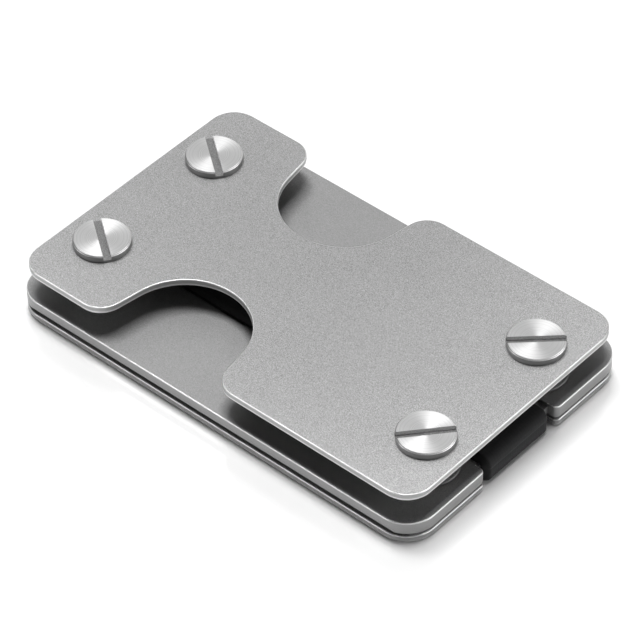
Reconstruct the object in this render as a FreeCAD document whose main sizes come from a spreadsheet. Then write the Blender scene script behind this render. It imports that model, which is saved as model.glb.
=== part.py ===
import FreeCAD, Part

import math
import os

import Sketcher

V = FreeCAD.Vector

# ---------------------------------------------------------------- dimensions
# Millimetres and degrees. The origin is at the bottom centre, X along the
# wallet, Y across it, +Z up.
DIMENSIONS = [
    # card plate and back plate share one outline
    ("plate_length", 90.0),
    ("plate_width", 56.6),
    ("plate_corner", 5.9),
    ("plate_edge", 0.2),
    ("card_thick", 3.02),
    ("back_thick", 1.23),
    # slim pocket under the card plate, open on both long sides
    ("pocket_length", 86.0),
    ("pocket_depth", 0.7),
    # bevel under the card plate's ends, which leaves a groove above the back plate
    ("land_bevel", 0.7),
    # straight lead-in bevels along the pocket's long sides, height on the rim and inset at the foot
    ("lead_in_rise", 1.18),
    ("lead_in_inset", 0.84),
    # notches at both ends and channels that take the elastic
    ("notch_width", 18.8),
    ("notch_depth", 2.0),
    ("notch_corner", 1.0),
    ("card_channel", 0.7),
    ("back_channel", 0.6),
    # front plate, held off the card plate
    ("front_length", 88.3),
    ("front_width", 55.0),
    ("front_corner", 5.0),
    ("front_edge", 0.2),
    ("front_thick", 1.32),
    ("cash_gap", 4.6),
    # thumb notches in the front plate
    ("thumb_offset", 11.45),
    ("thumb_radius", 11.8),
    ("thumb_centre", 20.95),
    ("thumb_flare", 9.0),
    ("thumb_mouth", 4.5),
    # elastic loop
    ("strap_width", 16.6),
    ("strap_length", 89.4),
    ("strap_thick", 1.1),
    ("strap_base", 0.75),
    ("strap_end", 1.6),
    ("strap_proud", 0.2),
    ("strap_rise", 0.45),
    ("strap_top_bend", 1.8),
    ("strap_low_bend", 0.85),
    ("strap_inner_bend", 0.2),
    ("strap_edge", 0.3),
    # screw pattern and screws
    ("screw_span", 72.8),
    ("screw_pitch", 28.66),
    ("head_dia", 10.3),
    ("head_height", 1.27),
    ("head_edge", 0.25),
    ("slot_width", 1.45),
    ("slot_depth", 0.75),
    ("shank_dia", 4.0),
    ("shank_length", 6.0),
    ("shank_edge", 0.3),
    ("front_hole_dia", 4.4),
    # washers and spacers
    ("washer_dia", 11.8),
    ("washer_thick", 0.5),
    ("washer_edge", 0.12),
    ("spacer_dia", 8.6),
    ("spacer_bore", 5.9),
    ("spacer_edge", 0.2),
    # barrel nuts
    ("nut_flange_dia", 9.5),
    ("nut_flange_thick", 0.7),
    ("nut_barrel_dia", 5.6),
    ("nut_barrel_length", 5.5),
    ("nut_bore", 4.1),
    ("nut_floor", 0.3),
    ("nut_slot_width", 1.0),
    ("nut_slot_depth", 0.3),
    ("nut_seat_dia", 9.8),
    ("nut_seat_depth", 0.75),
]

# Corner name, side along X, side along Y, direction of the screw's slot.
CORNERS = [
    ("left_near", -1, -1, -36.0),
    ("left_far", -1, 1, -37.0),
    ("right_near", 1, -1, 49.0),
    ("right_far", 1, 1, 43.0),
]

doc = FreeCAD.newDocument("wallet")
sheet = doc.addObject("Spreadsheet::Sheet", "Dims")
size = {}
for row, (alias, value) in enumerate(DIMENSIONS, start=1):
    sheet.set("A%d" % row, alias)
    sheet.set("B%d" % row, "%g" % value)
    sheet.setAlias("B%d" % row, alias)
    size[alias] = value
doc.recompute()

BACK_Z = "Dims.strap_proud"
CARD_Z = BACK_Z + " + Dims.back_thick"
CARD_TOP = CARD_Z + " + Dims.card_thick"
FRONT_Z = CARD_TOP + " + Dims.cash_gap"
HEAD_Z = FRONT_Z + " + Dims.front_thick"


# ------------------------------------------------------------------- helpers
def new_body(name):
    body = doc.addObject("PartDesign::Body", "Body_" + name)
    body.Label = name
    return body


def origin_plane(body, role):
    return [item for item in body.Origin.OriginFeatures if item.Role == role][0]


def new_sketch(body, name, role="XY_Plane", offset=None):
    """Add a sketch on one of the body's origin planes, raised by an expression."""
    sketch = body.newObject("Sketcher::SketchObject", name)
    sketch.AttachmentSupport = [(origin_plane(body, role), "")]
    sketch.MapMode = "FlatFace"
    if offset:
        sketch.setExpression("AttachmentOffset.Base.z", offset)
    return sketch


def drive(sketch, name, constraint, expression):
    """Add a named constraint whose value follows the sheet."""
    index = sketch.addConstraint(constraint)
    sketch.renameConstraint(index, name)
    sketch.setExpression("Constraints." + name, expression)


def closed_lines(sketch, points):
    """Draw a closed polygon and return the index of its first line."""
    first = sketch.GeometryCount
    count = len(points)
    for number in range(count):
        start, end = points[number], points[(number + 1) % count]
        sketch.addGeometry(Part.LineSegment(V(*start, 0), V(*end, 0)), False)
    for number in range(count):
        following = first + (number + 1) % count
        sketch.addConstraint(Sketcher.Constraint("Coincident", first + number, 2, following, 1))
    return first


def box_outline(sketch, name, x_from, x_to, y_from, y_to, driven):
    """Draw an upright rectangle; driven maps a side to the expression of its distance.

    The sides are left, right, low and high, measured from the sketch's origin.
    """
    first = closed_lines(sketch, [(x_from, y_from), (x_to, y_from), (x_to, y_to), (x_from, y_to)])
    for line, direction in ((0, "Horizontal"), (1, "Vertical"), (2, "Horizontal"), (3, "Vertical")):
        sketch.addConstraint(Sketcher.Constraint(direction, first + line))
    side_kind = {
        "left": ("DistanceX", first + 3, x_from),
        "right": ("DistanceX", first + 1, x_to),
        "low": ("DistanceY", first, y_from),
        "high": ("DistanceY", first + 2, y_to),
    }
    for side, (kind, line, value) in side_kind.items():
        constraint = Sketcher.Constraint(kind, -1, 1, line, 1, value)
        drive(sketch, name + "_" + side, constraint, driven[side])


def centred_box(sketch, name, length, width):
    """Draw a rectangle centred on the origin; length and width are expressions of the sheet."""
    half_length = doc.getObject("Dims").evalExpression(length) / 2
    half_width = doc.getObject("Dims").evalExpression(width) / 2
    box_outline(sketch, name, -half_length, half_length, -half_width, half_width, {
        "left": "-(%s) / 2" % length,
        "right": "(%s) / 2" % length,
        "low": "-(%s) / 2" % width,
        "high": "(%s) / 2" % width,
    })


def circle(sketch, name, diameter, x_side=0, y_side=0):
    """Draw a circle at the origin, or at one corner of the screw pattern."""
    x = x_side * size["screw_span"] / 2
    y = y_side * size["screw_pitch"] / 2
    index = sketch.addGeometry(Part.Circle(V(x, y, 0), V(0, 0, 1), size[diameter] / 2), False)
    drive(sketch, name + "_dia", Sketcher.Constraint("Diameter", index, size[diameter]), "Dims." + diameter)
    if x_side:
        span = Sketcher.Constraint("DistanceX", -1, 1, index, 3, x)
        pitch = Sketcher.Constraint("DistanceY", -1, 1, index, 3, y)
        drive(sketch, name + "_x", span, "%d * Dims.screw_span / 2" % x_side)
        drive(sketch, name + "_y", pitch, "%d * Dims.screw_pitch / 2" % y_side)
    else:
        sketch.addConstraint(Sketcher.Constraint("Coincident", index, 3, -1, 1))


def pad(body, sketch, length, down=False, both_ways=False):
    feature = body.newObject("PartDesign::Pad", "Pad_" + sketch.Name)
    feature.Profile = sketch
    feature.Reversed = down
    feature.Midplane = both_ways
    feature.setExpression("Length", length)
    finish_feature(feature, sketch)
    return feature


def pocket(body, sketch, depth=None, upward=False):
    """Cut the sketch's profile, downwards unless told otherwise; no depth cuts right through."""
    volume = body.Shape.Volume
    feature = body.newObject("PartDesign::Pocket", "Pocket_" + sketch.Name)
    feature.Profile = sketch
    feature.Reversed = upward
    if depth:
        feature.setExpression("Length", depth)
    else:
        feature.Type = "ThroughAll"
    finish_feature(feature, sketch)
    if body.Shape.Volume > volume - 1e-3:
        raise RuntimeError(feature.Name + " cut nothing")
    return feature


def finish_feature(feature, sketch):
    doc.recompute()
    sketch.Visibility = False


def edges_where(shape, wanted):
    """Names of the edges that wanted() accepts."""
    return ["Edge%d" % (i + 1) for i, edge in enumerate(shape.Edges) if wanted(edge)]


def dress(body, kind, amount, wanted):
    """Add a Fillet or a Chamfer, sized by the sheet, to the edges that wanted() accepts."""
    base = body.Tip
    names = edges_where(base.Shape, wanted)
    if not names:
        raise RuntimeError("no edges to dress on " + body.Label)
    feature = body.newObject("PartDesign::" + kind, kind + "_" + body.Label + "_" + amount)
    feature.Base = (base, names)
    feature.setExpression("Radius" if kind == "Fillet" else "Size", "Dims." + amount)
    doc.recompute()


def is_upright(edge):
    box = edge.BoundBox
    return box.XLength < 1e-6 and box.YLength < 1e-6


def lies_at(edge, z):
    return abs(edge.BoundBox.ZMin - z) < 1e-6 and abs(edge.BoundBox.ZMax - z) < 1e-6


def upright_at(x, y):
    """Accept upright edges at plus or minus x and plus or minus y."""
    def wanted(edge):
        point = edge.Vertexes[0].Point
        return is_upright(edge) and abs(abs(point.x) - x) < 1e-3 and abs(abs(point.y) - y) < 1e-3
    return wanted


def set_height(thing, expression):
    thing.setExpression("Placement.Base.z", expression)


def set_corner(thing, x_side, y_side, height):
    """Place a fastener piece on its screw axis."""
    thing.setExpression("Placement.Base.x", "%d * Dims.screw_span / 2" % x_side)
    thing.setExpression("Placement.Base.y", "%d * Dims.screw_pitch / 2" % y_side)
    set_height(thing, height)


# -------------------------------------------------------------------- plates
def plate_blank(body, length, width, thick, corner):
    """A flat plate with rounded corners, its underside on the body's XY plane."""
    sketch = new_sketch(body, "Outline_" + body.Label)
    centred_box(sketch, "outline", "Dims." + length, "Dims." + width)
    pad(body, sketch, "Dims." + thick)
    dress(body, "Fillet", corner, upright_at(size[length] / 2, size[width] / 2))


def end_notches(body):
    """A straight notch in the middle of each short end, right through the plate."""
    sketch = new_sketch(body, "Notches_" + body.Label)
    inner = size["plate_length"] / 2 - size["notch_depth"]
    outer = size["plate_length"] / 2 + 1
    half = size["notch_width"] / 2
    inner_text = "(Dims.plate_length / 2 - Dims.notch_depth)"
    outer_text = "(Dims.plate_length / 2 + 1)"
    low = "-Dims.notch_width / 2"
    high = "Dims.notch_width / 2"
    box_outline(sketch, "right", inner, outer, -half, half,
                {"left": inner_text, "right": outer_text, "low": low, "high": high})
    box_outline(sketch, "left", -outer, -inner, -half, half,
                {"left": "-" + outer_text, "right": "-" + inner_text, "low": low, "high": high})
    pocket(body, sketch, upward=True)
    dress(body, "Fillet", "notch_corner", upright_at(size["plate_length"] / 2, half))


def hole_pattern(body, name, diameter, depth=None):
    """Four round holes on the screw axes, cut upwards from the plate's underside."""
    sketch = new_sketch(body, name + "_" + body.Label)
    for corner, x_side, y_side, _ in CORNERS:
        circle(sketch, corner, diameter, x_side, y_side)
    pocket(body, sketch, depth, upward=True)


def on_rim(z, length, width):
    """Accept the edges of the outline at height z, and none inside it."""
    def wanted(edge):
        if not lies_at(edge, z):
            return False
        middle = edge.valueAt((edge.FirstParameter + edge.LastParameter) / 2)
        inside_x = abs(middle.x) < length / 2 - size["plate_corner"]
        inside_y = abs(middle.y) < width / 2 - size["plate_corner"]
        return not (inside_x and inside_y)
    return wanted


def lead_in(body):
    """Bevel the lower rim straight along both long sides, from end to end of the plate."""
    volume = body.Shape.Volume
    sketch = new_sketch(body, "Lead_in", "YZ_Plane")
    rim = size["plate_width"] / 2
    rise = size["lead_in_rise"]
    inset = size["lead_in_inset"]
    for name, side in (("right", 1), ("left", -1)):
        corners = [(side * (rim - inset), 0), (side * rim, 0), (side * rim, rise)]
        first = closed_lines(sketch, corners)
        sketch.addConstraint(Sketcher.Constraint("Horizontal", first))
        sketch.addConstraint(Sketcher.Constraint("Vertical", first + 1))
        sketch.addConstraint(Sketcher.Constraint("PointOnObject", first, 1, -1))
        foot = Sketcher.Constraint("DistanceX", -1, 1, first, 1, side * (rim - inset))
        edge = Sketcher.Constraint("DistanceX", -1, 1, first, 2, side * rim)
        height = Sketcher.Constraint("DistanceY", -1, 1, first + 1, 2, rise)
        drive(sketch, name + "_foot", foot, "%d * (Dims.plate_width / 2 - Dims.lead_in_inset)" % side)
        drive(sketch, name + "_rim", edge, "%d * Dims.plate_width / 2" % side)
        drive(sketch, name + "_rise", height, "Dims.lead_in_rise")
    feature = body.newObject("PartDesign::Pocket", "Pocket_lead_in")
    feature.Profile = sketch
    feature.Type = "ThroughAll"
    feature.Midplane = True
    finish_feature(feature, sketch)
    if body.Shape.Volume > volume - 1e-3:
        raise RuntimeError("the lead-in bevels cut nothing")


def make_back_plate():
    body = new_body("back_plate")
    plate_blank(body, "plate_length", "plate_width", "back_thick", "plate_corner")
    end_notches(body)
    for z in (0, size["back_thick"]):
        dress(body, "Fillet", "plate_edge", on_rim(z, size["plate_length"], size["plate_width"]))
    channel = new_sketch(body, "Channel_back_plate")
    centred_box(channel, "channel", "Dims.plate_length + 2", "Dims.notch_width")
    pocket(body, channel, "Dims.back_channel", upward=True)
    set_height(body, BACK_Z)


def make_card_plate():
    body = new_body("card_plate")
    plate_blank(body, "plate_length", "plate_width", "card_thick", "plate_corner")
    end_notches(body)
    dress(body, "Fillet", "plate_edge", on_rim(size["card_thick"], size["plate_length"], size["plate_width"]))
    dress(body, "Chamfer", "land_bevel", on_rim(0, size["plate_length"], size["plate_width"]))
    channel = new_sketch(body, "Channel_card_plate", offset="Dims.card_thick")
    centred_box(channel, "channel", "Dims.plate_length + 2", "Dims.notch_width")
    pocket(body, channel, "Dims.card_channel")
    card_pocket = new_sketch(body, "Pocket_card_plate")
    centred_box(card_pocket, "pocket", "Dims.pocket_length", "Dims.plate_width + 2")
    pocket(body, card_pocket, "Dims.pocket_depth", upward=True)
    lead_in(body)
    hole_pattern(body, "Nut_seats", "nut_seat_dia", "Dims.pocket_depth + Dims.nut_seat_depth")
    hole_pattern(body, "Barrel_holes", "spacer_bore")
    set_height(body, CARD_Z)


def thumb_notch(body):
    """A round-bottomed notch with flared sides, drawn on the far long edge."""
    sketch = new_sketch(body, "Thumb_notch")
    centre_x = -size["thumb_offset"]
    centre_y = size["thumb_centre"]
    radius = size["thumb_radius"]
    flare = math.radians(size["thumb_flare"])
    mouth_y = size["front_width"] / 2 + 1
    touch_x = radius * math.cos(flare)
    touch_y = centre_y - radius * math.sin(flare)
    mouth_x = touch_x + (mouth_y - touch_y) * math.tan(flare)
    floor = Part.ArcOfCircle(Part.Circle(V(centre_x, centre_y, 0), V(0, 0, 1), radius),
                             math.pi + flare, 2 * math.pi - flare)
    sketch.addGeometry(floor, False)
    right_touch = V(centre_x + touch_x, touch_y, 0)
    right_mouth = V(centre_x + mouth_x, mouth_y, 0)
    left_mouth = V(centre_x - mouth_x, mouth_y, 0)
    left_touch = V(centre_x - touch_x, touch_y, 0)
    sketch.addGeometry(Part.LineSegment(right_touch, right_mouth), False)
    sketch.addGeometry(Part.LineSegment(right_mouth, left_mouth), False)
    sketch.addGeometry(Part.LineSegment(left_mouth, left_touch), False)
    sketch.addConstraint([
        Sketcher.Constraint("Tangent", 0, 2, 1, 1),
        Sketcher.Constraint("Coincident", 1, 2, 2, 1),
        Sketcher.Constraint("Coincident", 2, 2, 3, 1),
        Sketcher.Constraint("Tangent", 3, 2, 0, 1),
        Sketcher.Constraint("Horizontal", 2),
    ])
    drive(sketch, "radius", Sketcher.Constraint("Radius", 0, radius), "Dims.thumb_radius")
    drive(sketch, "offset", Sketcher.Constraint("DistanceX", -1, 1, 0, 3, centre_x), "-Dims.thumb_offset")
    drive(sketch, "centre", Sketcher.Constraint("DistanceY", -1, 1, 0, 3, centre_y), "Dims.thumb_centre")
    drive(sketch, "mouth", Sketcher.Constraint("DistanceY", -1, 1, 1, 2, mouth_y), "Dims.front_width / 2 + 1")
    right_angle = Sketcher.Constraint("Angle", 1, math.pi / 2 - flare)
    drive(sketch, "right_wall", right_angle, "(90 - Dims.thumb_flare) * 1 deg")
    left_angle = Sketcher.Constraint("Angle", 3, flare - math.pi / 2)
    drive(sketch, "left_wall", left_angle, "(Dims.thumb_flare - 90) * 1 deg")
    return pocket(body, sketch, upward=True)


def make_front_plate():
    body = new_body("front_plate")
    plate_blank(body, "front_length", "front_width", "front_thick", "front_corner")
    notch = thumb_notch(body)
    volume = body.Shape.Volume
    mirror = body.newObject("PartDesign::Mirrored", "Second_thumb_notch")
    mirror.Originals = [notch]
    mirror.MirrorPlane = (origin_plane(body, "XZ_Plane"), [""])
    body.Tip = mirror
    doc.recompute()
    if body.Shape.Volume > volume - 1e-3:
        raise RuntimeError("the second thumb notch cut nothing")

    def at_mouth(edge):
        point = edge.Vertexes[0].Point
        at_edge = abs(abs(point.y) - size["front_width"] / 2) < 1e-3
        return is_upright(edge) and at_edge and abs(point.x + size["thumb_offset"]) < 16

    dress(body, "Fillet", "thumb_mouth", at_mouth)
    for z in (0, size["front_thick"]):
        dress(body, "Fillet", "front_edge", lambda edge, z=z: lies_at(edge, z))
    hole_pattern(body, "Screw_holes", "front_hole_dia")
    set_height(body, FRONT_Z)


# --------------------------------------------------------------------- strap
def make_strap():
    """A closed elastic loop, flat along the wallet and wrapped over both ends."""
    body = new_body("elastic_strap")
    total = "(Dims.strap_proud + Dims.back_thick + Dims.card_thick + Dims.strap_rise)"
    height = size["strap_proud"] + size["back_thick"] + size["card_thick"] + size["strap_rise"]
    half = size["strap_length"] / 2
    outer = new_sketch(body, "Loop_outside", "XZ_Plane")
    box_outline(outer, "outside", -half, half, 0, height, {
        "left": "-Dims.strap_length / 2",
        "right": "Dims.strap_length / 2",
        "low": "0",
        "high": total,
    })
    pad(body, outer, "Dims.strap_width", both_ways=True)

    def bend_at(x, z):
        def wanted(edge):
            box = edge.BoundBox
            runs_across = box.XLength < 1e-6 and box.ZLength < 1e-6
            return runs_across and abs(abs(box.XMin) - x) < 1e-3 and abs(box.ZMin - z) < 1e-3
        return wanted

    dress(body, "Fillet", "strap_top_bend", bend_at(half, height))
    dress(body, "Fillet", "strap_low_bend", bend_at(half, 0))
    side = size["strap_width"] / 2
    dress(body, "Fillet", "strap_edge", lambda edge: abs(abs(edge.BoundBox.YMin) - side) < 1e-3
          and edge.BoundBox.YLength < 1e-6)
    inner_half = half - size["strap_end"]
    inner_top = height - size["strap_thick"]
    inner = new_sketch(body, "Loop_inside", "XZ_Plane")
    box_outline(inner, "inside", -inner_half, inner_half, size["strap_base"], inner_top, {
        "left": "-(Dims.strap_length / 2 - Dims.strap_end)",
        "right": "Dims.strap_length / 2 - Dims.strap_end",
        "low": "Dims.strap_base",
        "high": total + " - Dims.strap_thick",
    })
    volume = body.Shape.Volume
    hollow = body.newObject("PartDesign::Pocket", "Pocket_loop_inside")
    hollow.Profile = inner
    hollow.Type = "ThroughAll"
    hollow.Midplane = True
    finish_feature(hollow, inner)
    if body.Shape.Volume > volume / 2:
        raise RuntimeError("the loop is not hollow")
    for z in (size["strap_base"], inner_top):
        dress(body, "Fillet", "strap_inner_bend", bend_at(inner_half, z))


# ----------------------------------------------------------------- fasteners
def ring(name, outer, bore, length, edge):
    """A plain turned ring, chamfered at both outer rims."""
    body = new_body(name)
    sketch = new_sketch(body, "Ring_" + name)
    circle(sketch, "outside", outer)
    circle(sketch, "bore", bore)
    pad(body, sketch, length)
    rim = size[outer] / 2
    dress(body, "Chamfer", edge, lambda item: is_round(item, rim))
    return body


def is_round(edge, radius):
    curve = edge.Curve
    return isinstance(curve, Part.Circle) and abs(curve.Radius - radius) < 1e-6


def make_screw(corner, x_side, y_side, angle):
    """A flat slotted head with a plain shank that stands for the thread."""
    name = "screw_" + corner
    body = new_body(name)
    head = new_sketch(body, "Head_" + corner)
    circle(head, "head", "head_dia")
    pad(body, head, "Dims.head_height")
    top = size["head_height"]
    dress(body, "Chamfer", "head_edge", lambda edge: lies_at(edge, top))
    shank = new_sketch(body, "Shank_" + corner)
    circle(shank, "shank", "shank_dia")
    pad(body, shank, "Dims.shank_length", down=True)
    end = -size["shank_length"]
    dress(body, "Chamfer", "shank_edge", lambda edge: lies_at(edge, end))
    slot = new_sketch(body, "Slot_" + corner, offset="Dims.head_height")
    centred_box(slot, "slot", "Dims.head_dia + 2", "Dims.slot_width")
    pocket(body, slot, "Dims.slot_depth")
    body.Placement = FreeCAD.Placement(V(0, 0, 0), FreeCAD.Rotation(V(0, 0, 1), angle))
    set_corner(body, x_side, y_side, HEAD_Z)


def make_washer(corner, x_side, y_side):
    body = ring("washer_" + corner, "washer_dia", "spacer_bore", "Dims.washer_thick", "washer_edge")
    set_corner(body, x_side, y_side, CARD_TOP)


def make_spacer(corner, x_side, y_side):
    length = "Dims.cash_gap - Dims.washer_thick"
    body = ring("spacer_" + corner, "spacer_dia", "spacer_bore", length, "spacer_edge")
    set_corner(body, x_side, y_side, CARD_TOP + " + Dims.washer_thick")


def make_nut(corner, x_side, y_side):
    """A barrel nut: a flange in the pocket's ceiling and a barrel up through the spacer."""
    body = new_body("nut_" + corner)
    barrel = new_sketch(body, "Barrel_" + corner)
    circle(barrel, "barrel", "nut_barrel_dia")
    pad(body, barrel, "Dims.nut_barrel_length")
    flange = new_sketch(body, "Flange_" + corner)
    circle(flange, "flange", "nut_flange_dia")
    pad(body, flange, "Dims.nut_flange_thick", down=True)
    bore = new_sketch(body, "Bore_" + corner, offset="Dims.nut_barrel_length")
    circle(bore, "bore", "nut_bore")
    pocket(body, bore, "Dims.nut_barrel_length - Dims.nut_floor")
    slot = new_sketch(body, "Key_slot_" + corner, offset="-Dims.nut_flange_thick")
    centred_box(slot, "slot", "Dims.nut_flange_dia + 2", "Dims.nut_slot_width")
    pocket(body, slot, "Dims.nut_slot_depth", upward=True)
    set_corner(body, x_side, y_side, CARD_Z + " + Dims.pocket_depth + Dims.nut_seat_depth")


# --------------------------------------------------------------------- build
make_back_plate()
make_card_plate()
make_front_plate()
make_strap()
for corner, x_side, y_side, angle in CORNERS:
    make_screw(corner, x_side, y_side, angle)
    make_washer(corner, x_side, y_side)
    make_spacer(corner, x_side, y_side)
    make_nut(corner, x_side, y_side)
doc.recompute()

for item in doc.Objects:
    if "Invalid" in item.State or "Error" in item.State:
        raise RuntimeError("%s failed: %s" % (item.Name, item.State))

bodies = [item for item in doc.Objects if item.TypeId == "PartDesign::Body"]
for body in bodies:
    if body.Shape.isNull() or not body.Shape.isValid():
        raise RuntimeError(body.Label + " has no valid shape")
    if len(body.Shape.Solids) != 1:
        raise RuntimeError(body.Label + " is not one solid")

os.makedirs("parts", exist_ok=True)
for body in bodies:
    body.Shape.exportStep("parts/%s.step" % body.Label)
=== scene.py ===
import math

import bmesh
import bpy
from mathutils import Matrix, Vector


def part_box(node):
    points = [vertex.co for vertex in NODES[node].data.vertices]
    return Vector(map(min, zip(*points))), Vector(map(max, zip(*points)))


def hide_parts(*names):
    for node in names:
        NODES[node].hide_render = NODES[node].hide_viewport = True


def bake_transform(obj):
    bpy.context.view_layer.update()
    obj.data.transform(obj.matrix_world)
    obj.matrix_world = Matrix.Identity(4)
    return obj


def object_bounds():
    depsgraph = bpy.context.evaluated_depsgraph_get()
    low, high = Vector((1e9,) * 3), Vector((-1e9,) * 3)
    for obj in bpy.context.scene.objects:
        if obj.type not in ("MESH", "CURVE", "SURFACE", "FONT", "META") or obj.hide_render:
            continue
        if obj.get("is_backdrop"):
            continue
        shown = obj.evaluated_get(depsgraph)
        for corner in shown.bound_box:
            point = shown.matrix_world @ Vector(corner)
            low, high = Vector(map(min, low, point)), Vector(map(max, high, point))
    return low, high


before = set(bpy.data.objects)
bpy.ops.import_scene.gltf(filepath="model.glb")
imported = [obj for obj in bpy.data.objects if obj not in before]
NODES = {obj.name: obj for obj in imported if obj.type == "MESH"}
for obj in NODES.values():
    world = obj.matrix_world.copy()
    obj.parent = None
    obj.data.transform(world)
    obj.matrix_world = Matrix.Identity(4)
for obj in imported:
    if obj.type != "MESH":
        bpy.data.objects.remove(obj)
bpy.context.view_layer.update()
MM = 0.001
POST_X = 0.5 * sum(corner[0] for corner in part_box("nut_right_near"))
POST_Y = 0.5 * sum(corner[1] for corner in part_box("nut_right_far"))
HEAD_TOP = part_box("screw_right_near")[1][2]
HEAD_RADIUS = 0.5 * (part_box("screw_right_near")[1][0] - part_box("screw_right_near")[0][0])
GROOVE_TURN = math.radians(12)     # turns the turned heads' fans of light round their axes

# The front plate's tone drifts with the place on it, as a share of these half sizes: a painted highlight,
# lighter away from the middle, in place of the soft boxes' reflection.
HALF_LENGTH = 45 * MM
HALF_WIDTH = 28 * MM
GLOW_LEAN = (0.085, -0.045, 0)     # steady rise along the length, and fall across it
GLOW_BOWL = (0.135, 0.07, 0)       # rise with the square of the distance from the middle

RIB_PITCH = 0.62 * MM              # the elastic's lengthwise ribs
THREAD_PITCH = 0.30 * MM           # and its cross threads


# ------------------------------------------------------------------ node help
def new_material(name):
    material = bpy.data.materials.new(name)
    material.use_nodes = True
    tree = material.node_tree
    tree.nodes.clear()
    output = tree.nodes.new("ShaderNodeOutputMaterial")
    shader = tree.nodes.new("ShaderNodeBsdfPrincipled")
    tree.links.new(shader.outputs["BSDF"], output.inputs["Surface"])
    return material, tree, shader


def feed(tree, value, socket):
    """Link a socket to another, or set it to a constant."""
    if isinstance(value, bpy.types.NodeSocket):
        tree.links.new(value, socket)
    else:
        socket.default_value = value


def add(tree, kind, settings=None, **values):
    """Add a node. Values feed its inputs, by name or by number as i0, i1 and so on."""
    item = tree.nodes.new(kind)
    for key, value in (settings or {}).items():
        setattr(item, key, value)
    for key, value in values.items():
        by_number = key[0] == "i" and key[1:].isdigit()
        feed(tree, value, item.inputs[int(key[1:]) if by_number else key])
    return item


def math_node(tree, operation, first, second=0.0, third=0.0):
    item = add(tree, "ShaderNodeMath", {"operation": operation}, i0=first, i1=second, i2=third)
    return item.outputs[0]


def vector_math(tree, operation, first, second):
    return add(tree, "ShaderNodeVectorMath", {"operation": operation}, i0=first, i1=second)


def scaled(tree, colour, factor):
    """A colour times a factor."""
    item = add(tree, "ShaderNodeVectorMath", {"operation": "SCALE"}, i0=colour, Scale=factor)
    return item.outputs[0]


def ramp(tree, factor, low, high, out_low, out_high):
    """Map factor from low..high to out_low..out_high, clamped."""
    item = tree.nodes.new("ShaderNodeMapRange")
    tree.links.new(factor, item.inputs["Value"])
    for key, value in (("From Min", low), ("From Max", high), ("To Min", out_low), ("To Max", out_high)):
        item.inputs[key].default_value = value
    return item.outputs["Result"]


def place(tree):
    """Row-frame coordinates in metres: every piece and CAD node sits at the origin."""
    return tree.nodes.new("ShaderNodeTexCoord").outputs["Object"]


def surface_normal(tree):
    """The normal's X, Y and Z, as outputs 0, 1 and 2."""
    normal = tree.nodes.new("ShaderNodeNewGeometry").outputs["Normal"]
    return add(tree, "ShaderNodeSeparateXYZ", i0=normal).outputs


def colour_mix(tree, factor, first, second):
    """Mix two colours; each is a socket, a grey level, or red, green and blue."""
    item = add(tree, "ShaderNodeMix", {"data_type": "RGBA"}, Factor=factor)
    for number, value in ((6, first), (7, second)):
        if isinstance(value, float):
            value = (value, value, value)
        if isinstance(value, tuple):
            value = (*value, 1)
        feed(tree, value, item.inputs[number])
    return item.outputs[2]


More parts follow.
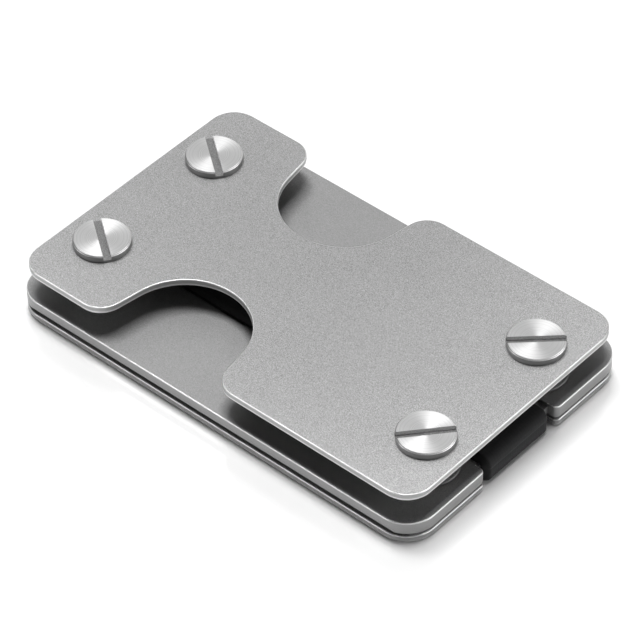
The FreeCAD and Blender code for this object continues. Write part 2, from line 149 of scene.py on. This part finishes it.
# ------------------------------------------------------------------ materials
def blasted_metal(name, tone, side_tone, grain_size, grain_depth, glow_scale, foot, glint_strength):
    """Bead-blasted, clear-anodised aluminium with machined sides and polished rims; the lower rim is
    painted brighter than the upper, a painted highlight.

    fade scales a painted highlight that drifts over the plate's face; foot is the height of the plate's
    underside, just above which a band of the side is painted bright as a painted highlight, by an amount
    given by burnish.
    """
    material, tree, shader = new_material(name)
    where = place(tree)
    grain = add(tree, "ShaderNodeTexNoise", Vector=where,
                Scale=1.0 / grain_size, Detail=3.0, Roughness=0.75)
    speck = add(tree, "ShaderNodeTexNoise", Vector=where,
                Scale=2.7 / grain_size, Detail=1.0, Roughness=0.5)
    patches = add(tree, "ShaderNodeTexNoise", Vector=where, Scale=45.0, Detail=2.0, Roughness=0.5)
    height = math_node(tree, "MULTIPLY_ADD", speck.outputs[0], 0.6, grain.outputs[0])
    shade = tone * grain_depth
    face = colour_mix(tree, ramp(tree, height, 0.55, 1.05, 0.0, 1.0), tone - shade, tone + shade)

    # Painted highlight: the face is painted lighter away from its middle, as the lamps' reflection would
    # make it.
    share = vector_math(tree, "MULTIPLY", where, (1 / HALF_LENGTH, 1 / HALF_WIDTH, 0)).outputs[0]
    square = vector_math(tree, "MULTIPLY", share, share).outputs[0]
    lean = vector_math(tree, "DOT_PRODUCT", share, GLOW_LEAN)
    bowl = vector_math(tree, "DOT_PRODUCT", square, GLOW_BOWL)
    painted_glow = math_node(tree, "ADD", lean.outputs["Value"], bowl.outputs["Value"])
    face = scaled(tree, face, math_node(tree, "MULTIPLY_ADD", painted_glow, glow_scale, 1.0))

    up = surface_normal(tree)[2]
    flank = ramp(tree, math_node(tree, "ABSOLUTE", up), 0.96, 0.995, 1.0, 0.0)
    upper_rim = ramp(tree, up, 0.05, 0.20, 0.0, 1.0)
    lower_rim = ramp(tree, up, -0.20, -0.05, 1.0, 0.0)
    # Painted highlight: a band of the side just above the plate's underside is painted bright.
    height_up = add(tree, "ShaderNodeSeparateXYZ", i0=where).outputs[2]
    painted_glint = ramp(tree, height_up, foot + 0.35 * MM, foot + 0.55 * MM, glint_strength, 0.0)
    side = colour_mix(tree, painted_glint, side_tone, 0.95)
    side = colour_mix(tree, upper_rim, side, 0.88)
    # Painted highlight: the lower rim is painted brighter than the upper, for light from below.
    side = colour_mix(tree, lower_rim, side, 0.95)
    tree.links.new(colour_mix(tree, flank, face, side), shader.inputs["Base Color"])

    rims = math_node(tree, "MULTIPLY", flank, math_node(tree, "MAXIMUM", upper_rim, lower_rim))
    tree.links.new(ramp(tree, rims, 0.0, 1.0, 0.45, 0.90), shader.inputs["Metallic"])
    blasted = ramp(tree, patches.outputs[0], 0.3, 0.7, 0.46, 0.54)
    rough = add(tree, "ShaderNodeMix", i0=flank, i2=blasted, i3=0.34)
    tree.links.new(rough.outputs[0], shader.inputs["Roughness"])
    bump = add(tree, "ShaderNodeBump", Height=height, Strength=0.6, Distance=0.00006)
    tree.links.new(bump.outputs[0], shader.inputs["Normal"])
    return material


def turned_metal(name, dark, light, rim, side, dull):
    """Bright turned steel: fine rings round each axis give a fan-shaped highlight.

    dark and light are the rings' tones, rim and side those of the chamfer and the
    upright wall, and dull is the roughness.
    """
    material, tree, shader = new_material(name)
    where = place(tree)
    parts = add(tree, "ShaderNodeSeparateXYZ", i0=where)
    across = math_node(tree, "SUBTRACT", parts.outputs[0],
                       math_node(tree, "MULTIPLY", math_node(tree, "SIGN", parts.outputs[0]), POST_X))
    along = math_node(tree, "SUBTRACT", parts.outputs[1],
                      math_node(tree, "MULTIPLY", math_node(tree, "SIGN", parts.outputs[1]), POST_Y))
    squared = math_node(tree, "MULTIPLY_ADD", across, across, math_node(tree, "MULTIPLY", along, along))
    radius = math_node(tree, "SQRT", squared)
    rings = add(tree, "ShaderNodeTexNoise", {"noise_dimensions": "1D"}, W=radius, Scale=6000.0, Detail=2.0)
    colour = colour_mix(tree, ramp(tree, rings.outputs[0], 0.3, 0.7, 0.0, 1.0), dark, light)

    up = surface_normal(tree)[2]
    edge = ramp(tree, up, 0.15, 0.50, side, rim)
    colour = colour_mix(tree, ramp(tree, up, 0.80, 0.95, 1.0, 0.0), colour, edge)

    # The slot is the part of a head that lies below its top: a rough floor, painted dark as painted shade
    # in the recess, and brighter walls.
    below = ramp(tree, parts.outputs[2], HEAD_TOP - 0.10 * MM, HEAD_TOP - 0.03 * MM, 1.0, 0.0)
    burr = add(tree, "ShaderNodeTexNoise", Vector=where, Scale=6000.0, Detail=2.0)
    level = ramp(tree, up, 0.5, 0.8, 0.0, 1.0)
    flat = ramp(tree, up, 0.85, 0.95, 0.0, 1.0)
    within = ramp(tree, radius, HEAD_RADIUS - 0.15 * MM, HEAD_RADIUS - 0.05 * MM, 1.0, 0.0)
    in_slot = math_node(tree, "MULTIPLY", below, math_node(tree, "MAXIMUM", within, flat))
    slot = colour_mix(tree, level, ramp(tree, burr.outputs[0], 0.3, 0.7, 0.75, 0.95),
                      ramp(tree, burr.outputs[0], 0.3, 0.7, 0.20, 0.38))
    tree.links.new(colour_mix(tree, in_slot, colour, slot), shader.inputs["Base Color"])
    shader.inputs["Metallic"].default_value = 1.0
    shader.inputs["Anisotropic"].default_value = 0.62

    polish = ramp(tree, rings.outputs[0], 0.3, 0.7, dull - 0.03, dull + 0.03)
    rough = add(tree, "ShaderNodeMix", i0=in_slot, i2=polish, i3=0.85)
    tree.links.new(rough.outputs[0], shader.inputs["Roughness"])

    # The highlight stretches along the tangent: outward on level faces, upright on the walls.
    outward = add(tree, "ShaderNodeCombineXYZ", i0=across, i1=along)
    swirl = add(tree, "ShaderNodeVectorRotate", {"rotation_type": "Z_AXIS"},
                Vector=outward.outputs[0], Angle=GROOVE_TURN)
    unit = add(tree, "ShaderNodeVectorMath", {"operation": "NORMALIZE"}, i0=swirl.outputs[0])
    upright = add(tree, "ShaderNodeCombineXYZ", i2=1.0)
    tangent = add(tree, "ShaderNodeMix", {"data_type": "VECTOR"},
                  Factor=level, i4=upright.outputs[0], i5=unit.outputs[0])
    tree.links.new(tangent.outputs[1], shader.inputs["Tangent"])
    return material


def woven_elastic():
    """Matt black elastic: lengthwise ribs crossed by fine threads."""
    material, tree, shader = new_material("black_elastic")
    where = place(tree)
    fuzz = add(tree, "ShaderNodeTexNoise", Vector=where, Scale=3500.0, Detail=2.0)
    parts = add(tree, "ShaderNodeSeparateXYZ", i0=where)
    round_loop = math_node(tree, "ADD", parts.outputs[0], parts.outputs[2])
    rib = math_node(tree, "SINE", math_node(tree, "MULTIPLY", parts.outputs[1], 2 * math.pi / RIB_PITCH))
    thread = math_node(tree, "SINE", math_node(tree, "MULTIPLY", round_loop, 2 * math.pi / THREAD_PITCH))
    weave = math_node(tree, "MULTIPLY_ADD", rib, 0.12, math_node(tree, "MULTIPLY", thread, 0.12))
    height = math_node(tree, "MULTIPLY_ADD", fuzz.outputs[0], 0.8, weave)
    colour = colour_mix(tree, ramp(tree, height, -0.8, 1.2, 0.0, 1.0),
                        (0.005, 0.005, 0.006), (0.011, 0.011, 0.012))
    # Painted shade: the elastic's edges, which face the notch walls, are painted darker, down to 35% of
    # the face.
    off_centre = math_node(tree, "ABSOLUTE", math_node(tree, "SUBTRACT", parts.outputs[1], STRAP_SHIFT))
    edge_shade = ramp(tree, off_centre, 7.15 * MM, 7.45 * MM, 1.0, 0.35)
    tree.links.new(scaled(tree, colour, edge_shade), shader.inputs["Base Color"])
    shader.inputs["Roughness"].default_value = 0.85
    shader.inputs["Sheen Weight"].default_value = 0.10
    shader.inputs["Sheen Roughness"].default_value = 0.5
    bump = add(tree, "ShaderNodeBump", Height=height, Strength=0.5, Distance=0.00006)
    tree.links.new(bump.outputs[0], shader.inputs["Normal"])
    return material


def white_floor():
    """Glossy white acrylic with a faint, slightly blurred reflection."""
    material, tree, shader = new_material("studio_floor")
    shader.inputs["Base Color"].default_value = (0.90, 0.90, 0.90, 1)
    shader.inputs["Roughness"].default_value = 0.10
    shader.inputs["IOR"].default_value = 1.9
    return material


# -------------------------------------------------------------------- elastic
STRAP_LOW, STRAP_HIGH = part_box("elastic_strap")
TOP_THICK = 1.1 * MM        # thickness of the upper run
LOW_THICK = 0.75 * MM       # thickness of the lower run
STRAP_SHIFT = -0.25 * MM    # the loop sits a little towards the near side
STRAP_LIFT = 0.45 * MM      # how far the upper run swells before it turns down
STRAP_SLIM = 0.06 * MM      # how far the ends lie inside the CAD loop where they don't bulge
INNER_X = STRAP_HIGH[0] - 1.6 * MM
LIFT_START = 30             # millimetres from the middle where the swell begins
LIFT_REACH = 11             # and its length
TOP_STEPS, BEND_STEPS, SIDE_STEPS, LOW_BEND_STEPS, LOW_STEPS = 60, 14, 16, 10, 40


def swell(x):
    """The upper run lies in its channel and lifts a little before it turns down."""
    reach = min(max((abs(x) / MM - LIFT_START) / LIFT_REACH, 0), 1)
    return STRAP_LIFT * reach * reach * (3 - 2 * reach)


def arc(cx, cz, radius, start, stop, count):
    """Points on an arc, with its angles in degrees."""
    for i in range(count + 1):
        a = math.radians(start + (stop - start) * i / count)
        yield cx + radius * math.cos(a), cz + radius * math.sin(a)


def strap_stations():
    """Pairs of an outer and an inner point.

    They run from the middle of the upper run, round the right end, to the middle of the lower run.
    """
    top, bottom = STRAP_HIGH[2], STRAP_LOW[2]
    top_bend, low_bend, inner_bend = 2.0 * MM, 1.15 * MM, 0.2 * MM
    half = STRAP_HIGH[0]
    slim_half = half - STRAP_SLIM
    inner_top, inner_low = top - TOP_THICK, bottom + LOW_THICK
    outer, inner = [], []
    for i in range(TOP_STEPS + 1):
        t = i / TOP_STEPS
        x = t * (half - top_bend)
        outer.append((x, top + swell(x)))
        inner.append((t * (INNER_X - inner_bend), inner_top))
    end_top = top + STRAP_LIFT
    outer += list(arc(half - top_bend, end_top - top_bend, top_bend, 90, 0, BEND_STEPS))[1:]
    inner += list(arc(INNER_X - inner_bend, inner_top - inner_bend, inner_bend, 90, 0, BEND_STEPS))[1:]
    outer_side = (end_top - top_bend, bottom + low_bend)
    inner_side = (inner_top - inner_bend, inner_low + inner_bend)
    for i in range(1, SIDE_STEPS):
        t = i / SIDE_STEPS
        bulge = STRAP_SLIM * math.sin(math.pi * t) ** 2
        outer.append((slim_half + bulge, outer_side[0] + (outer_side[1] - outer_side[0]) * t))
        inner.append((INNER_X, inner_side[0] + (inner_side[1] - inner_side[0]) * t))
    outer += list(arc(slim_half - low_bend, bottom + low_bend, low_bend, 0, -90, LOW_BEND_STEPS))
    inner += list(arc(INNER_X - inner_bend, inner_low + inner_bend, inner_bend, 0, -90, LOW_BEND_STEPS))
    for i in range(1, LOW_STEPS + 1):
        t = 1 - i / LOW_STEPS
        outer.append((t * (slim_half - low_bend), bottom))
        inner.append((t * (INNER_X - inner_bend), inner_low))
    return list(zip(outer, inner))


def strap_section(thick, half_width):
    """(across, depth) points round one section: a flat middle and sloping, rounded selvages."""
    steps = 28
    shoulder = half_width - 1.0 * MM
    # millimetres past the shoulder, and the share of the thickness
    flank = [(0.00, 0.00), (0.10, 0.015), (0.22, 0.07), (0.36, 0.16), (0.55, 0.30), (0.74, 0.45),
             (0.90, 0.60), (0.98, 0.72), (1.00, 0.82), (0.96, 0.91), (0.86, 0.97), (0.70, 1.00)]
    near = [(shoulder + across * MM, depth * thick) for across, depth in flank]
    front = [(-shoulder + 2 * shoulder * i / steps, 0.0) for i in range(1, steps)]
    last = near[-1][0]
    back = [(last - 2 * last * i / steps, thick) for i in range(1, steps)]
    far = [(-across, depth) for across, depth in reversed(near)]
    return front + near + back + far


def make_elastic():
    """One closed loop of quads, skinned over sections at every station."""
    half_width = STRAP_HIGH[1]
    right = strap_stations()
    left = [((-ox, oz), (-ix, iz)) for (ox, oz), (ix, iz) in reversed(right[1:-1])]
    mesh = bpy.data.meshes.new("elastic_loop")
    work = bmesh.new()
    rings = []
    for (ox, oz), (ix, iz) in right + left:
        thick = math.hypot(ix - ox, iz - oz)
        ring = []
        for y, depth in strap_section(thick, half_width):
            x = ox + (ix - ox) * depth / thick
            z = oz + (iz - oz) * depth / thick
            ring.append(work.verts.new((x, y + STRAP_SHIFT, z)))
        rings.append(ring)
    count = len(rings[0])
    for i, ring in enumerate(rings):
        following = rings[(i + 1) % len(rings)]
        for j in range(count):
            k = (j + 1) % count
            work.faces.new((ring[j], ring[k], following[k], following[j]))
    bmesh.ops.recalc_face_normals(work, faces=work.faces)
    for face in work.faces:
        face.smooth = True
    work.to_mesh(mesh)
    work.free()
    piece = bpy.data.objects.new("elastic_loop", mesh)
    bpy.context.scene.collection.objects.link(piece)
    return piece


# ------------------------------------------------------------- studio, camera
LIGHT_DISTANCE = 3.0        # metres
FLOOR_SIZE = 6.0            # metres


def make_floor():
    bpy.ops.mesh.primitive_plane_add(size=FLOOR_SIZE, location=(0, 0, 0))
    floor = bpy.context.object
    floor.name = "floor"
    floor.data.materials.append(white_floor())
    floor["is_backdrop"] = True


def soft_box(name, direction, along, width, height, radiance):
    """A soft box that lies in a direction from the wallet.

    Its width in metres runs along a vector, and its height across that vector.
    """
    light = bpy.data.lights.new(name, "AREA")
    light.shape = "RECTANGLE"
    light.size = width
    light.size_y = height
    light.energy = radiance * math.pi * width * height
    lamp = bpy.data.objects.new(name, light)
    facing = Vector(direction).normalized()
    side = (Vector(along) - facing * facing.dot(Vector(along))).normalized()
    turn = Matrix((side, facing.cross(side), facing)).transposed()
    lamp.matrix_world = Matrix.Translation(facing * LIGHT_DISTANCE) @ turn.to_4x4()
    lamp.visible_camera = False
    bpy.context.scene.collection.objects.link(lamp)


def make_light():
    world = bpy.data.worlds.new("studio")
    world.use_nodes = True
    background = world.node_tree.nodes["Background"]
    background.inputs["Color"].default_value = (1, 1, 1, 1)
    background.inputs["Strength"].default_value = 0.04
    bpy.context.scene.world = world
    soft_box("key", (-0.20, 0.15, 1.0), (1, 0, 0), 1.75, 0.80, 22.0)
    soft_box("backdrop", (-0.483, 0.540, 0.689), (0.745, 0.667, 0), 3.4, 1.9, 1.1)
    soft_box("near_strip", (-0.483, -0.833, 0.273), (0.865, -0.50, 0), 2.4, 0.9, 2.6)
    soft_box("right_strip", (0.813, 0.540, 0.30), (0.55, -0.83, 0), 2.4, 1.3, 3.0)


def make_camera():
    """Telephoto view, a little rolled, from the near right."""
    azimuth, elevation, roll = (math.radians(a) for a in (41.816, 43.534, -1.011))
    distance = 623.23 * MM
    aim = Vector((5.828 * MM, -5.596 * MM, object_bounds()[1][2]))
    back = Vector((math.sin(azimuth) * math.cos(elevation),
                   -math.cos(azimuth) * math.cos(elevation),
                   math.sin(elevation)))
    right = Vector((math.cos(azimuth), math.sin(azimuth), 0))
    up = back.cross(right)
    rolled_right = right * math.cos(roll) + up * math.sin(roll)
    rolled_up = up * math.cos(roll) - right * math.sin(roll)
    data = bpy.data.cameras.new("camera")
    data.sensor_width = 36.0
    data.lens = 208.66
    data.clip_start = 0.01
    camera = bpy.data.objects.new("camera", data)
    turn = Matrix((rolled_right, rolled_up, back)).transposed()
    camera.matrix_world = Matrix.Translation(aim + back * distance) @ turn.to_4x4()
    bpy.context.scene.collection.objects.link(camera)
    bpy.context.scene.camera = camera


# ------------------------------------------------------------------- assembly
def dress_node(name, material):
    data = NODES[name].data
    data.materials.clear()
    data.materials.append(material)


front_metal = blasted_metal(
    "front_aluminium", tone=0.245, side_tone=0.44, grain_size=0.175 * MM, grain_depth=0.72,
    glow_scale=1.3, foot=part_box("front_plate")[0][2], glint_strength=0.75)
card_metal = blasted_metal(
    "card_aluminium", tone=0.230, side_tone=0.34, grain_size=0.18 * MM, grain_depth=0.35,
    glow_scale=0.0, foot=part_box("card_plate")[0][2], glint_strength=0.0)
back_metal = blasted_metal(
    "back_aluminium", tone=0.238, side_tone=0.34, grain_size=0.18 * MM, grain_depth=0.35,
    glow_scale=0.0, foot=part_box("back_plate")[0][2], glint_strength=0.3)
head_steel = turned_metal("turned_steel", dark=0.39, light=0.49, rim=0.92, side=0.42, dull=0.33)
# Painted shade: the washers and spacers, which lie in shade under the front plate, get a darker copy of
# the turned steel.
shaded_steel = turned_metal("washer_steel_shaded", dark=0.18, light=0.24, rim=0.22, side=0.22, dull=0.50)
elastic = woven_elastic()
dress_node("front_plate", front_metal)
dress_node("card_plate", card_metal)
dress_node("back_plate", back_metal)
for name in NODES:
    kind = name.split("_")[0]
    if kind in ("screw", "nut"):
        dress_node(name, head_steel)
    elif kind in ("washer", "spacer"):
        dress_node(name, shaded_steel)

loop = make_elastic()
loop.data.materials.append(elastic)
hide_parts("elastic_strap")
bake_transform(loop)

make_floor()
make_light()
make_camera()
bpy.context.scene.view_settings.view_transform = "Standard"
